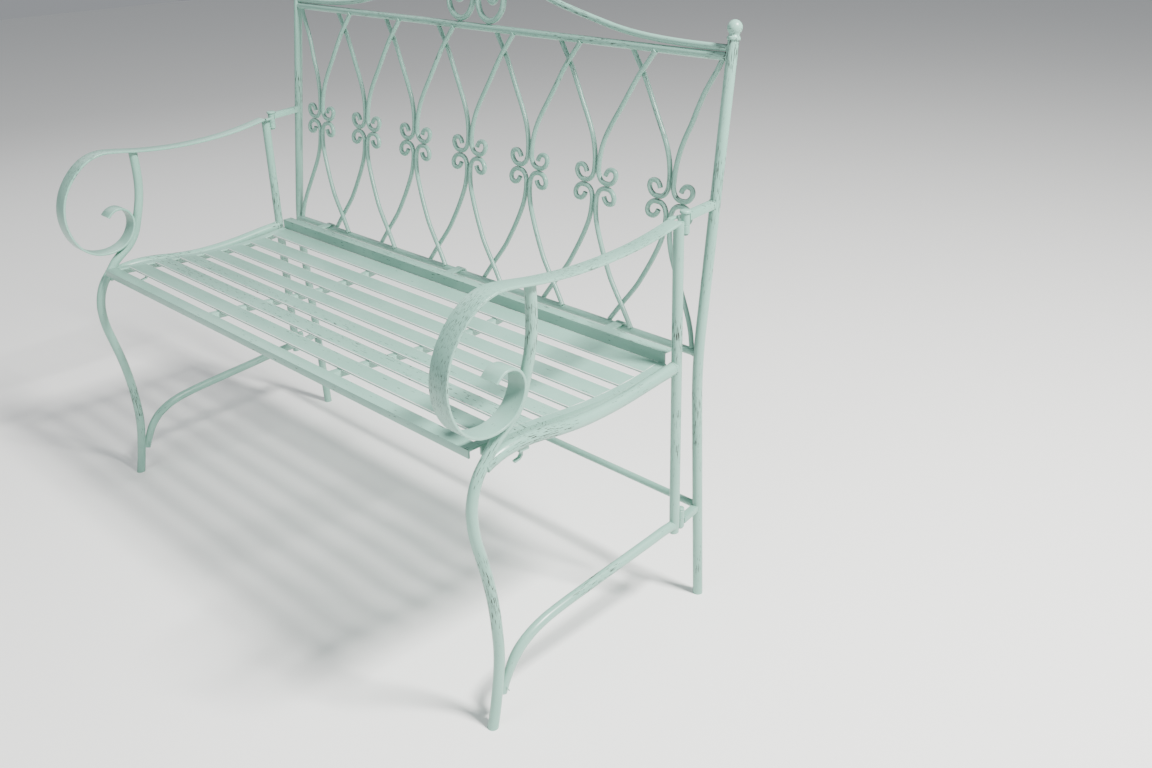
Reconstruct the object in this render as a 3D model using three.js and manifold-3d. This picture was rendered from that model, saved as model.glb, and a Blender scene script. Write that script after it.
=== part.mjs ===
// Folding garden bench, round steel tube and flat bar, welded.
// Millimetres, +Z up, front of the bench faces -Y, floor at Z = 0, centred on X = 0.
// Pieces are laid out from the seat rail (Y = 0) and moved to the middle of the depth when added.
import * as THREE from 'three';
import Module from 'manifold-3d';

const wasm = await Module();
wasm.setup();

// ---- driving dimensions -------------------------------------------------
const POST_X = 548;          // back post and side frame centre, each side of the middle
const TUBE_D = 16;           // posts, uprights, front legs
const SEAT_TUBE_D = 19;      // seat-level tube of a side frame
const STRETCH_D = 15.5;        // low side stretcher
const RAIL_D = 12;           // rails between the posts
const CREST_D = 10;          // crest tube with its scrolls
const BAR_D = 8;             // lattice rod
const GAP = 0.3;             // air left between neighbouring pieces
const SEAT_Z = 437;          // height of the rail the seat swings on
const LEAN = 7.65;           // lean of the back, degrees
const FOOT_Y = 13;           // the post foot stands this far behind the seat rail
const TOP_T = 429.5;         // seat rail to top rail, measured up the leaning back
const POST_T = 452;          // top end of a post, same measure
const PITCH = 154.5;         // lattice spacing
const UNITS = 7;
const MID_T = 214.7;         // where upper and lower scrolls meet
const LOW_RAIL_Z = 170;
const PIN_Y = -35.4;         // pin axis of the side frames
const UP_Y = -49.7;          // rear upright of the side frames
const UP_TOP = 652;
const UP_BOT = 146;
const KNUCKLE_R = 6.35;
const PIN_R = 3;
const ARM_T = 4;             // armrest bar thickness
const SEAT_HALF = 530;       // seat edge
const SLATS = 7, SLAT_W = 34, SLAT_PITCH = 51, SLAT_T = 3.5, SLAT_Y0 = -71;
const STRAPS = [-431, -12, 388];
const DEPTH_MID = -205.98;   // middle of the depth, brought to Y = 0 at the end
const PAINT = 0xb9cdc4;

// ---- helpers ------------------------------------------------------------
const root = new THREE.Group();
root.name = 'garden_bench';
const paint = () => new THREE.MeshStandardMaterial({ color: PAINT, roughness: 0.45, metalness: 0.1 });
const V = (x, y, z) => new THREE.Vector3(x, y, z);
const rad = (d) => d * Math.PI / 180;
const SL = Math.sin(rad(LEAN)), CL = Math.cos(rad(LEAN));
// a point on the leaning back: x across, t up the back, n behind it
const back = (x, t, n = 0) => V(x, t * SL + n * CL, SEAT_Z + t * CL - n * SL);
// a post bends just below the seat rail; under the bend it runs straight to the foot
const BEND_T = -19.2;
const postY = (z) => FOOT_Y + (BEND_T * SL - FOOT_Y) * z / (SEAT_Z + BEND_T * CL);

// sweep a closed 2-D outline along points; up is the outline's second axis
function sweep(pts, outlineAt, upHint, capEnds = true) {
  const n = pts.length, pos = [], idx = [];
  let m = 0;
  for (let i = 0; i < n; i++) {
    const a = pts[Math.max(i - 1, 0)], b = pts[Math.min(i + 1, n - 1)];
    const t = b.clone().sub(a).normalize();
    const side = t.clone().cross(upHint).normalize();
    const up = side.clone().cross(t).normalize();
    const o = outlineAt(i / (n - 1));
    m = o.length;
    for (const [u, v] of o) {
      const p = pts[i].clone().addScaledVector(side, u).addScaledVector(up, v);
      pos.push(p.x, p.y, p.z);
    }
  }
  for (let i = 0; i < n - 1; i++) for (let j = 0; j < m; j++) {
    const k = (j + 1) % m, a = i * m + j, b = i * m + k, c = a + m, d = b + m;
    idx.push(a, b, c, b, d, c);
  }
  if (capEnds) for (let j = 1; j < m - 1; j++) {
    idx.push(0, j + 1, j);
    const e = (n - 1) * m;
    idx.push(e, e + j, e + j + 1);
  }
  return { pos, idx };
}
function volume({ pos, idx }) {
  let v = 0;
  for (let i = 0; i < idx.length; i += 3) {
    const [a, b, c] = [0, 1, 2].map((k) => V(...pos.slice(idx[i + k] * 3, idx[i + k] * 3 + 3)));
    v += a.dot(b.cross(c)) / 6;
  }
  return v;
}
function solid(s) {
  if (volume(s) < 0) for (let i = 0; i < s.idx.length; i += 3) {
    [s.idx[i + 1], s.idx[i + 2]] = [s.idx[i + 2], s.idx[i + 1]];
  }
  return new wasm.Manifold(new wasm.Mesh({
    numProp: 3, vertProperties: new Float32Array(s.pos), triVerts: new Uint32Array(s.idx),
  }));
}
const circle = (r, k) => Array.from({ length: k }, (_, j) => {
  const a = (j + 0.5) / k * 2 * Math.PI;
  return [r * Math.cos(a), r * Math.sin(a)];
});
const curve = (pts, steps) => new THREE.CatmullRomCurve3(pts, false, 'centripetal').getSpacedPoints(steps);
const knots = (pts, steps) => new THREE.CatmullRomCurve3(pts, false, 'centripetal').getPoints(steps);
const rod = (pts, d, sides, up) => solid(sweep(pts, () => circle(d / 2, sides), up));
const bar = (pts, w, t, up) => solid(sweep(pts,
  () => [[-w / 2, -t / 2], [w / 2, -t / 2], [w / 2, t / 2], [-w / 2, t / 2]], up));
function cyl(a, b, r, sides = 16) {
  const up = Math.abs(b.clone().sub(a).normalize().x) > 0.9 ? V(0, 0, 1) : V(1, 0, 0);
  return rod([a, b], 2 * r, sides, up);
}
function box(x0, x1, y0, y1, z0, z1) {
  return prism([[y0, z0], [y1, z0], [y1, z1], [y0, z1]], x0, x1);
}
// a flat outline given as [y, z] points, carried across from x0 to x1
function prism(yz, x0, x1) {
  const n = yz.length, pos = [];
  for (const x of [x0, x1]) for (const [y, z] of yz) pos.push(x, y, z);
  const idx = [];
  const tri = THREE.ShapeUtils.triangulateShape(yz.map(([a, b]) => new THREE.Vector2(a, b)), []);
  for (const [a, b, c] of tri) idx.push(a, c, b, a + n, b + n, c + n);
  const area = THREE.ShapeUtils.area(yz.map(([a, b]) => new THREE.Vector2(a, b)));
  for (let j = 0; j < n; j++) {
    const k = (j + 1) % n;
    if (area > 0) idx.push(j, k, j + n, k, k + n, j + n);
    else idx.push(j, j + n, k, k, j + n, k + n);
  }
  return solid({ pos, idx });
}
function lathe(profile, at, dir, sides = 20) {
  const g = new THREE.LatheGeometry(profile.map(([r, h]) => new THREE.Vector2(r, h)), sides);
  const pos = [], idx = [];
  const q = new THREE.Quaternion().setFromUnitVectors(V(0, 1, 0), dir.clone().normalize());
  const key = new Map(), p = g.attributes.position, map = [];
  for (let i = 0; i < p.count; i++) {
    const v = V(p.getX(i), p.getY(i), p.getZ(i)).applyQuaternion(q).add(at);
    const k = [v.x, v.y, v.z].map((c) => Math.round(c * 1e4)).join();
    if (!key.has(k)) { key.set(k, pos.length / 3); pos.push(v.x, v.y, v.z); }
    map.push(key.get(k));
  }
  for (let i = 0; i < g.index.count; i += 3) {
    const [a, b, c] = [0, 1, 2].map((k) => map[g.index.getX(i + k)]);
    if (a !== b && b !== c && a !== c) idx.push(a, b, c);
  }
  return solid({ pos, idx });
}
function ball(at, r, sides = 14) {
  const prof = [];
  for (let i = 0; i <= 6; i++) prof.push([r * Math.sin(i / 6 * Math.PI), -r * Math.cos(i / 6 * Math.PI)]);
  prof[0][0] = 0; prof[6][0] = 0;
  return lathe(prof, at, V(0, 0, 1), sides);
}
function add(name, body) {
  const m = body.getMesh();
  const np = m.numProp, p = new Float32Array(m.vertProperties.length / np * 3);
  for (let i = 0; i < p.length / 3; i++) for (let k = 0; k < 3; k++) {
    p[3 * i + k] = m.vertProperties[i * np + k] - (k === 1 ? DEPTH_MID : 0);
  }
  const g = new THREE.BufferGeometry();
  g.setAttribute('position', new THREE.BufferAttribute(p, 3));
  g.setIndex([...m.triVerts]);
  g.computeVertexNormals();
  const mesh = new THREE.Mesh(g, paint());
  mesh.name = name;
  root.add(mesh);
}
const smooth = (x) => { const c = Math.min(Math.max(x, 0), 1); return c * c * (3 - 2 * c); };
const SIDES = [['left', -1], ['right', 1]];
const ground = box(-700, 700, -700, 300, -60, 0);      // feet are cut off level

// ---- back frame: posts, finials, rails ----------------------------------
for (const [side, s] of SIDES) {
  const x = s * POST_X;
  const pts = [V(x, postY(-12), -12)];
  for (let i = 0; i <= 6; i++) {
    const u = i / 6;
    const a = V(x, postY(358), 358), b = back(x, BEND_T), c = back(x, BEND_T + 60);
    pts.push(a.multiplyScalar((1 - u) ** 2).addScaledVector(b, 2 * u * (1 - u)).addScaledVector(c, u * u));
  }
  pts.push(back(x, POST_T));
  add(`back_post_${side}`, rod(pts, TUBE_D, 16, V(1, 0, 0)).subtract(ground));
  const prof = [[0, 0], [10.4, 0], [10.9, 2.2], [10.2, 4.6], [7.4, 5.4], [6.6, 6.6]];
  for (let i = 2; i <= 8; i++) {
    const a = i / 8 * Math.PI;
    prof.push([i === 8 ? 0 : 10.7 * Math.sin(a), 16.6 - 10.7 * Math.cos(a)]);
  }
  add(`finial_${side}`, lathe(prof, back(x, POST_T + GAP), V(0, SL, CL), 14));
}
const inner = POST_X - TUBE_D / 2 - GAP;
add('top_rail', cyl(back(-inner, TOP_T), back(inner, TOP_T), RAIL_D / 2));
add('seat_pivot_rail', cyl(back(-inner, 0), back(inner, 0), RAIL_D / 2));
const lowY = postY(LOW_RAIL_Z);
add('low_back_rail', cyl(V(-inner, lowY, LOW_RAIL_Z), V(inner, lowY, LOW_RAIL_Z), RAIL_D / 2));

// ---- crest: each half rises from its post, rolls over and ends in a scroll
const CREST = [[536.5, 11.4], [500, 11.5], [455, 12.2], [415, 13.8], [375, 16.8], [334, 21.9], [292, 29.8],
  [240, 40.6], [187, 53], [145, 66], [110, 80], [82, 93], [58, 103.5], [38, 108.5], [20, 104], [8.8, 91],
  [5.4, 73], [5.3, 52], [9.5, 31], [20, 17.4], [37.6, 11.5], [55, 16.5], [66.5, 28.5], [70.6, 44],
  [68, 57], [60, 66], [50, 68.5], [40, 65], [34.5, 56], [35.5, 46], [42.5, 41.5], [49.3, 44.5], [50.5, 51]];
for (const [side, s] of SIDES) {
  const pts = knots(CREST.map(([x, h]) => back(s * x, TOP_T + h)), 44);
  add(`crest_${side}`, rod(pts, CREST_D, 8, V(0, CL, -SL)));
}

// ---- lattice: rods that run together at the middle of a unit and curl away
const CURL = [[4.3, 28.4], [5.1, 18.4], [9.5, 9.6], [16, 5.2], [23.3, 4.1], [31.4, 4.8], [38.4, 9.4],
  [42.2, 17], [40.2, 24], [34, 26.7], [27.3, 25.6], [22.6, 21.2], [20.4, 16.4]];
const UPPER = [[103.8, 211.6], [90.5, 194], [77.25, 177], [68, 162.3], [55.5, 141], [42, 119.5], [30.4, 102.5],
  [21.8, 89], [13.9, 74.5], [8.2, 58.5], [5.1, 42]];
const LOWER = [[104.3, 209.4], [90.5, 190.5], [77.25, 173.2], [66, 159], [52, 140], [41.5, 123], [31.8, 107],
  [22.5, 90.5], [14.1, 73.5], [8.1, 57.5], [5.1, 42]];
const UPPER_END = [[70.3, 211.8], [62.5, 195], [54.5, 181], [45, 163.5], [35.5, 141], [26.5, 116], [17.5, 95.5],
  [11.1, 77], [7, 59], [4.8, 42]];
const LOWER_END = [[70.8, 209.6], [66, 188], [59.5, 170], [50.5, 151], [40, 131], [29.5, 111], [20, 93],
  [12.1, 75], [7.2, 58], [4.9, 42]];
const railTop = cyl(back(-inner, TOP_T), back(inner, TOP_T), RAIL_D / 2 + GAP, 20);
const railLow = cyl(back(-inner, 0), back(inner, 0), RAIL_D / 2 + GAP, 20);
for (let u = 0; u < UNITS; u++) {
  const cx = (u - (UNITS - 1) / 2) * PITCH;
  for (const [side, s] of SIDES) {
    const end = (u === 0 && s < 0) || (u === UNITS - 1 && s > 0);
    const off = end ? 0 : s * -4.2;      // right-hand rods pass in front where neighbours cross
    const place = (list, dir) => knots(list.map(([x, d]) =>
      back(cx + s * x, MID_T + dir * d, off * smooth((d - 62) / 85))), 17);
    const up = rod(place([...(end ? UPPER_END : UPPER), ...CURL], 1), BAR_D, 6, V(0, CL, -SL));
    const low = rod(place([...(end ? LOWER_END : LOWER), ...CURL], -1), BAR_D, 6, V(0, CL, -SL));
    const weld = ball(back(cx + s * 23.3, MID_T), 2.2, 6);
    add(`lattice_${u + 1}_${side}`, up.add(low).add(weld).subtract(railTop).subtract(railLow));
  }
}

// ---- side frames ----------------------------------------------------------
const LEG = [[-333, 633], [-332.5, 600], [-334, 572], [-338.5, 546], [-347, 517], [-358, 487], [-374, 465.5],
  [-391, 452.5], [-405, 441], [-419, 424], [-434, 406], [-444, 385], [-449, 362], [-449.3, 341],
  [-446.8, 318], [-439.8, 287], [-432, 253], [-426.4, 222], [-422.6, 193], [-420.2, 160], [-419, 126],
  [-420.8, 95], [-425, 66], [-431, 33], [-436.5, 8]];
const SEAT_TUBE = [[-56.5, 431], [-86, 428], [-130, 422.5], [-165, 418.6], [-205, 416.2], [-250, 416.2],
  [-290, 419.6], [-326, 424.6], [-360, 427], [-392, 424.5], [-416, 417.5], [-428, 412]];
const LOW_STRETCH = [[-56.5, 160], [-76, 159.4], [-98, 156.8], [-127, 153.8], [-171, 149.2], [-215, 144.9],
  [-257, 140.6], [-298, 135.9], [-333, 129.8], [-359, 120.8], [-381, 107.4], [-396.5, 90], [-407, 70], [-416.5, 49]];
// outer face of the armrest bar: from the hinge, forward, down round the big scroll and up to the leg
const ARM = [[-36, 658], [-54, 656.8], [-75, 652.5], [-96, 648.3], [-120, 644.3], [-150, 640.4], [-195, 637.2],
  [-240, 636.2], [-281, 637.6], [-324, 641.3], [-366, 647], [-390, 649], [-407, 647.2], [-424, 641.5],
  [-440, 631.8], [-453, 620.5], [-465, 606.5], [-475.5, 590.5], [-483, 573], [-487.3, 555], [-488.3, 536],
  [-485, 515], [-477.5, 495.5], [-467, 480.5], [-455, 470.8], [-441, 464.4], [-425, 461.6], [-409, 462],
  [-393, 466.4], [-379.5, 474.6], [-369, 486], [-362, 499.5], [-359.3, 512], [-361, 524.5], [-367.5, 535.5],
  [-378.5, 542], [-390.5, 542.6], [-401, 538], [-409, 530.5]];
const upZ = (z0, z1, x, y, r, sides = 16) => cyl(V(x, y, z0), V(x, y, z1), r, sides);
const PIN_TOP = { head: 662.3, stub: [645.4, 662], knuckle: [632.6, 645.1], end: 631 };
const PIN_LOW = { head: 181.4, stub: [150.5, 165.8], knuckle: [166.1, 181.1], end: 149 };

for (const [side, s] of SIDES) {
  const x = s * POST_X;
  const at = (list) => list.map(([y, z]) => V(x, y, z));
  const armPts = knots(at(ARM), 52);
  // flat bar whose outer face follows ARM, narrower at the hinge
  const ribbon = (grow) => {
    const pos = [], idx = [], n = armPts.length;
    for (let i = 0; i < n; i++) {
      const t = armPts[Math.min(i + 1, n - 1)].clone().sub(armPts[Math.max(i - 1, 0)]).normalize();
      const nrm = V(0, -t.z, t.y);              // points into the scroll
      const f = i / (n - 1);
      const w = (25 + 9 * smooth((f - 0.08) / 0.24) - 2 * smooth((f - 0.7) / 0.25)) / 2 + grow;
      for (const [a, b] of [[-w, -grow], [w, -grow], [w, ARM_T + grow], [-w, ARM_T + grow]]) {
        pos.push(x + a, armPts[i].y + nrm.y * b, armPts[i].z + nrm.z * b);
      }
    }
    for (let i = 0; i < n - 1; i++) for (let j = 0; j < 4; j++) {
      const k = (j + 1) % 4, a = i * 4 + j, b = i * 4 + k;
      idx.push(a, b, a + 4, b, b + 4, a + 4);
    }
    idx.push(0, 2, 1, 0, 3, 2);
    const e = (n - 1) * 4;
    idx.push(e, e + 1, e + 2, e, e + 2, e + 3);
    return solid({ pos, idx });
  };
  const armFat = ribbon(GAP);
  // notch for the upright and the knuckle, the outer corner is left open
  const outer = box(Math.min(x, x + s * 40), Math.max(x, x + s * 40), UP_Y - 8.2, 0, 630, 680);
  add(`armrest_${side}`, ribbon(0)
    .subtract(upZ(600, 690, x, UP_Y, TUBE_D / 2 + GAP)).subtract(upZ(600, 690, x, PIN_Y, KNUCKLE_R + 2.3))
    .subtract(outer));

  const legPts = curve(at(LEG), 30);
  const legAt = (d) => rod([...legPts, V(x, -439.8, -12)], d, 12, V(1, 0, 0));
  add(`front_leg_${side}`, legAt(TUBE_D).subtract(armFat).subtract(ground));
  const legFat = legAt(TUBE_D + 2 * GAP);

  const web = (z0, z1) => box(x - 2.5, x + 2.5, UP_Y + 5, PIN_Y - 4, z0, z1);
  let up = upZ(UP_BOT, UP_TOP, x, UP_Y, TUBE_D / 2)
    .add(upZ(...PIN_TOP.knuckle, x, PIN_Y, KNUCKLE_R)).add(web(PIN_TOP.knuckle[0] + 1, PIN_TOP.knuckle[1] - 1))
    .add(upZ(...PIN_LOW.knuckle, x, PIN_Y, KNUCKLE_R)).add(web(PIN_LOW.knuckle[0] + 1, PIN_LOW.knuckle[1] - 1));
  up = up.subtract(upZ(600, 660, x, PIN_Y, PIN_R + GAP)).subtract(upZ(140, 200, x, PIN_Y, PIN_R + GAP));
  // room for the stub knuckles beside the upright
  up = up.subtract(upZ(PIN_TOP.knuckle[1], 680, x, PIN_Y, KNUCKLE_R + GAP))
    .subtract(upZ(140, PIN_LOW.knuckle[0], x, PIN_Y, KNUCKLE_R + GAP));
  add(`rear_upright_${side}`, up);
  const upFat = upZ(UP_BOT - 20, UP_TOP + 20, x, UP_Y, TUBE_D / 2 + GAP);

  add(`seat_tube_${side}`, rod(curve(at(SEAT_TUBE), 14), SEAT_TUBE_D, 12, V(1, 0, 0))
    .subtract(upFat).subtract(legFat));
  add(`side_stretcher_${side}`, rod(curve(at(LOW_STRETCH), 16), STRETCH_D, 12, V(1, 0, 0))
    .subtract(upFat).subtract(legFat));

  // fixed halves of the two hinges
  const postFat = rod([V(x, postY(0), 0), V(x, postY(358), 358), back(x, 41), back(x, POST_T)],
    TUBE_D + 2 * GAP, 20, V(1, 0, 0));
  const hi = prism([[PIN_Y + 1, 661.8], [-26.6, 661.8], [-26.2, 663.2], [30, 667.4], [30, 656.5], [-29, 651.6],
    [PIN_Y + 1, 651.6]], x - 6, x + 6).add(upZ(...PIN_TOP.stub, x, PIN_Y, KNUCKLE_R))
    .subtract(upZ(600, 700, x, PIN_Y, PIN_R + GAP)).subtract(postFat);
  add(`upper_hinge_arm_${side}`, hi);
  const lo = prism([[PIN_Y + 1, 165.6], [-28.4, 165.6], [-28, 166.6], [8, 175], [8, 164.5], [-30, 156],
    [PIN_Y + 1, 156]], x - 6, x + 6).add(upZ(...PIN_LOW.stub, x, PIN_Y, KNUCKLE_R))
    .subtract(upZ(100, 220, x, PIN_Y, PIN_R + GAP)).subtract(postFat);
  add(`lower_hinge_arm_${side}`, lo);

  // pins: flat head above, shank through both knuckles, rounded end below
  const pin = (p, r, t) => lathe([[0, p.end - 1.6], [PIN_R + 1.6, p.end - 0.6], [PIN_R + 1.6, p.end + 0.6],
    [PIN_R, p.end + 1.2], [PIN_R, p.head], [r - 0.6, p.head], [r, p.head + 0.8], [r, p.head + t - 1.4],
    [r - 1.6, p.head + t - 0.2], [0, p.head + t]], V(x, PIN_Y, 0), V(0, 0, 1), 12);
  add(`upper_hinge_pin_${side}`, pin(PIN_TOP, 8.2, 4.6));
  add(`lower_hinge_pin_${side}`, pin(PIN_LOW, 6, 4));

  // rest bracket: a flat tab welded under the seat tube carries the seat, its tail is bent down
  const span = (x0, x1) => [Math.min(s * x0, s * x1), Math.max(s * x0, s * x1)];
  const tab = box(...span(519, POST_X), -366, -350, 413.2, 416.2);
  const tail = prism([[-352, 415], [-352, 401], [-356.5, 396], [-366, 394], [-366.6, 396.8], [-358, 398.6],
    [-355, 402], [-355, 415]], ...span(536, 541.5));
  add(`seat_rest_${side}`, tab.add(tail).add(box(...span(POST_X - 4, POST_X + 4), -366, -350, 413.4, 425))
    .subtract(rod(curve(at(SEAT_TUBE), 14), SEAT_TUBE_D + 2 * GAP, 12, V(1, 0, 0))));
}

// ---- seat -------------------------------------------------------------------
const SEAT = [[-50, 431.8], [-70, 428.8], [-85, 426.8], [-100, 425], [-120, 423], [-140, 421.8], [-165, 421],
  [-190, 421], [-220, 422], [-252, 424], [-291, 427.5], [-343, 431.5], [-390, 434.5], [-413, 435.5], [-436, 436]];
const seatZ = (y) => {
  for (let i = 0; i < SEAT.length - 1; i++) {
    const [a, za] = SEAT[i], [b, zb] = SEAT[i + 1];
    if (y <= a && y >= b) return za + (zb - za) * (a - y) / (a - b);
  }
  return y > SEAT[0][0] ? SEAT[0][1] : SEAT[SEAT.length - 1][1];
};
const topLine = (y0, y1, k, drop) => Array.from({ length: k + 1 }, (_, i) => {
  const y = y0 + (y1 - y0) * i / k;
  return [y, seatZ(y) - drop];
});
// rails: angle sections
add('seat_back_rail', prism([[-33, 448.6], [-33, 445.6], [-49, 445.6], [-49, 427], [-52, 427], [-52, 448.6]],
  -SEAT_HALF + 4, SEAT_HALF - 4));
add('seat_front_rail', prism([[-413, 435.5], [-413, 432.5], [-431.5, 432.5], [-431.5, 423], [-434.5, 423],
  [-434.5, 435.5]], -SEAT_HALF, SEAT_HALF));
for (const [side, s] of SIDES) {
  const flat = (x0, x1, a, b) => prism([...topLine(-52.4, -412.6, 13, a), ...topLine(-412.6, -52.4, 13, b)],
    Math.min(s * x0, s * x1), Math.max(s * x0, s * x1));
  const rail = flat(SEAT_HALF - 14, SEAT_HALF, 0, 3).add(flat(SEAT_HALF - 3, SEAT_HALF, 0, 15));
  add(`seat_side_rail_${side}`, rail);
}
for (let i = 0; i < SLATS; i++) {
  const yc = SLAT_Y0 - i * SLAT_PITCH, y0 = yc + SLAT_W / 2, y1 = yc - SLAT_W / 2;
  const z0 = seatZ(y0), z1 = seatZ(y1), half = SEAT_HALF - 14 - GAP;
  add(`seat_slat_${i + 1}`, prism([[y0, z0], [y0, z0 - SLAT_T], [y1, z1 - SLAT_T], [y1, z1]], -half, half));
}
for (const [side, s] of SIDES) {
  const x = s * 181;
  add(`seat_support_${side}`, prism([...topLine(-52.4, -431, 13, SLAT_T + 1.2),
    ...topLine(-431, -52.4, 13, SLAT_T + 11)], x - 6, x + 6)
    .subtract(box(x - 10, x + 10, -440, -412.5, 431.5, 440)));
}
STRAPS.forEach((x, i) => {
  const pts = [V(x, -47, 443.8), V(x, -28, 443.8), V(x, -12, 444.2)];
  for (let a = 112; a >= -108; a -= 20) pts.push(V(x, 8.4 * Math.cos(rad(a)), SEAT_Z + 8.4 * Math.sin(rad(a))));
  add(`seat_strap_${i + 1}`, bar(pts, 3, 16, V(1, 0, 0))
    .subtract(cyl(back(-inner, 0), back(inner, 0), RAIL_D / 2 + GAP)));
});

export default root;
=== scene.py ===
# %% [markdown]
# # Folding garden bench
# The bench is made of round steel tube, thin rod and flat bar, all painted one pale sage green.
# Sizes are in millimetres from the seat rail (y = 0), as a maker would lay them out on a bench.
# `P` turns such a point into metres in the frame that every piece shares.

# %% Load the frame
import bpy, bmesh, math
import numpy as np
from mathutils import Matrix, Vector


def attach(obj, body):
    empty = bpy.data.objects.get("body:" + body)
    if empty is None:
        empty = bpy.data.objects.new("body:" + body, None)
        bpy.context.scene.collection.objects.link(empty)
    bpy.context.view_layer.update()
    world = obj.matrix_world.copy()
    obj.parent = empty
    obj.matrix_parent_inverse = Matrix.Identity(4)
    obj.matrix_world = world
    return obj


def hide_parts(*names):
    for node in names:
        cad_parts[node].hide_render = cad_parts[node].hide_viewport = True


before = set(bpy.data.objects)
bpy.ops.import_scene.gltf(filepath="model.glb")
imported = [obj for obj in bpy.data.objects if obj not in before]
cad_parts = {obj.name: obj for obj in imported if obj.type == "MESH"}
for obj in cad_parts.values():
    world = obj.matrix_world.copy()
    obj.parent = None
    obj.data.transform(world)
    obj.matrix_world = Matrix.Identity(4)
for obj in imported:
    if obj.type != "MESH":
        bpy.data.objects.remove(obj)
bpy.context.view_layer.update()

DEPTH_MID = -205.98


def P(x, y, z):
    return Vector((x, y - DEPTH_MID, z)) / 1000


# %% [markdown]
# ## Camera, light and floor
# The camera comes first, because every later choice is judged through it. Its turn is written as
# three angles: the yaw round the vertical, the pitch down to the seat and a small roll.
# One strong light of modest size stands for the sun, so each round tube gets a clear bright line,
# as satin paint shows. Two large weak lights and a pale sky keep the shadows soft and open.

# %% Camera
YAW, PITCH_DOWN, ROLL = (math.radians(a) for a in (45.851, 24.678, -1.464))
FOCAL_PER_WIDTH = 1141.255 / 1152
EYE = P(1548.97, -1229.15, 1115.11)
look = Vector((-math.sin(YAW) * math.cos(PITCH_DOWN), math.cos(YAW) * math.cos(PITCH_DOWN), -math.sin(PITCH_DOWN)))
right = Vector((math.cos(YAW), math.sin(YAW), 0))
up = right.cross(look)
right2 = right * math.cos(ROLL) + up * math.sin(ROLL)
up2 = up * math.cos(ROLL) - right * math.sin(ROLL)
camera = bpy.data.objects.new("camera", bpy.data.cameras.new("camera"))
bpy.context.scene.collection.objects.link(camera)
camera.data.sensor_width = 36
camera.data.lens = camera.data.sensor_width * FOCAL_PER_WIDTH
turn = Matrix((right2, up2, -look)).transposed().to_4x4()
camera.matrix_world = Matrix.Translation(EYE) @ turn
bpy.context.scene.camera = camera
print("camera at", [round(c, 3) for c in camera.location], "lens", round(camera.data.lens, 2))


# %% Lights and world
AIM = Vector((0, 0, 0.45))                # middle of the bench


def soft_light(name, place, size, watts, colour=(1, 1, 1)):
    data = bpy.data.lights.new(name, "AREA")
    data.shape, data.size, data.size_y = "RECTANGLE", size, size
    data.energy, data.color = watts, colour
    lamp = bpy.data.objects.new(name, data)
    lamp.location = place
    lamp.rotation_euler = (AIM - Vector(place)).to_track_quat("-Z", "Y").to_euler()
    bpy.context.scene.collection.objects.link(lamp)


soft_light("sun_side", (2.3, 0.5, 3.1), 0.6, 370, (1, 0.985, 0.955))
soft_light("sky_front", (0.6, -2.9, 1.9), 1.8, 40, (0.97, 0.985, 1))
soft_light("sky_left", (-2.8, 0.4, 2.4), 2.0, 22, (0.96, 0.98, 1))
world = bpy.data.worlds.new("soft_sky")
world.use_nodes = True
world.node_tree.nodes["Background"].inputs["Color"].default_value = (0.86, 0.9, 0.95, 1)
world.node_tree.nodes["Background"].inputs["Strength"].default_value = 0.36
bpy.context.scene.world = world

# %% Floor
FLOOR_REACH = 9
floor_mat = bpy.data.materials.new("pale_floor")
floor_mat.use_nodes = True
floor_mat.node_tree.nodes["Principled BSDF"].inputs["Base Color"].default_value = (0.9, 0.9, 0.885, 1)
floor_mat.node_tree.nodes["Principled BSDF"].inputs["Roughness"].default_value = 0.85
floor_mesh = bpy.data.meshes.new("floor")
corners = [(x * FLOOR_REACH, y * FLOOR_REACH, 0) for x, y in ((-1, -1), (1, -1), (1, 1), (-1, 1))]
floor_mesh.from_pydata(corners, [], [(0, 1, 2, 3)])
floor_mesh.materials.append(floor_mat)
floor = bpy.data.objects.new("floor", floor_mesh)
bpy.context.scene.collection.objects.link(floor)
print("stage ready")

# %% [markdown]
# ## Worn satin paint
# One paint covers everything. Handling has rubbed it through in dashes that run along the tubes,
# showing brown oxide. The dashes must follow bent tubes, so each swept piece carries the vector
# attribute `straight`: where the point would be if its tube were pulled straight. A noise stretched
# along x of `straight` then gives dashes that turn with every scroll. A second attribute, `wear`,
# is high where hands and feet rub most. Flat pieces use Object coordinates instead.
# A chip appears where the noise passes the level `CHIP`. Rubbing adds to the noise, so the worn
# places get more chips, but every chip keeps a crisp edge.

# %% Paint
LIGHT, DEEP, OXIDE = (0.235, 0.43, 0.355, 1), (0.205, 0.392, 0.32, 1), (0.02, 0.015, 0.014, 1)
CHIP, RUB_GAIN = 0.73, 0.16
TUBE_DASH, ARM_DASH, SLAT_DASH, WELD_SPECK = (62, 900, 900), (120, 1300, 1300), (60, 500, 500), (260, 260, 260)


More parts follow.
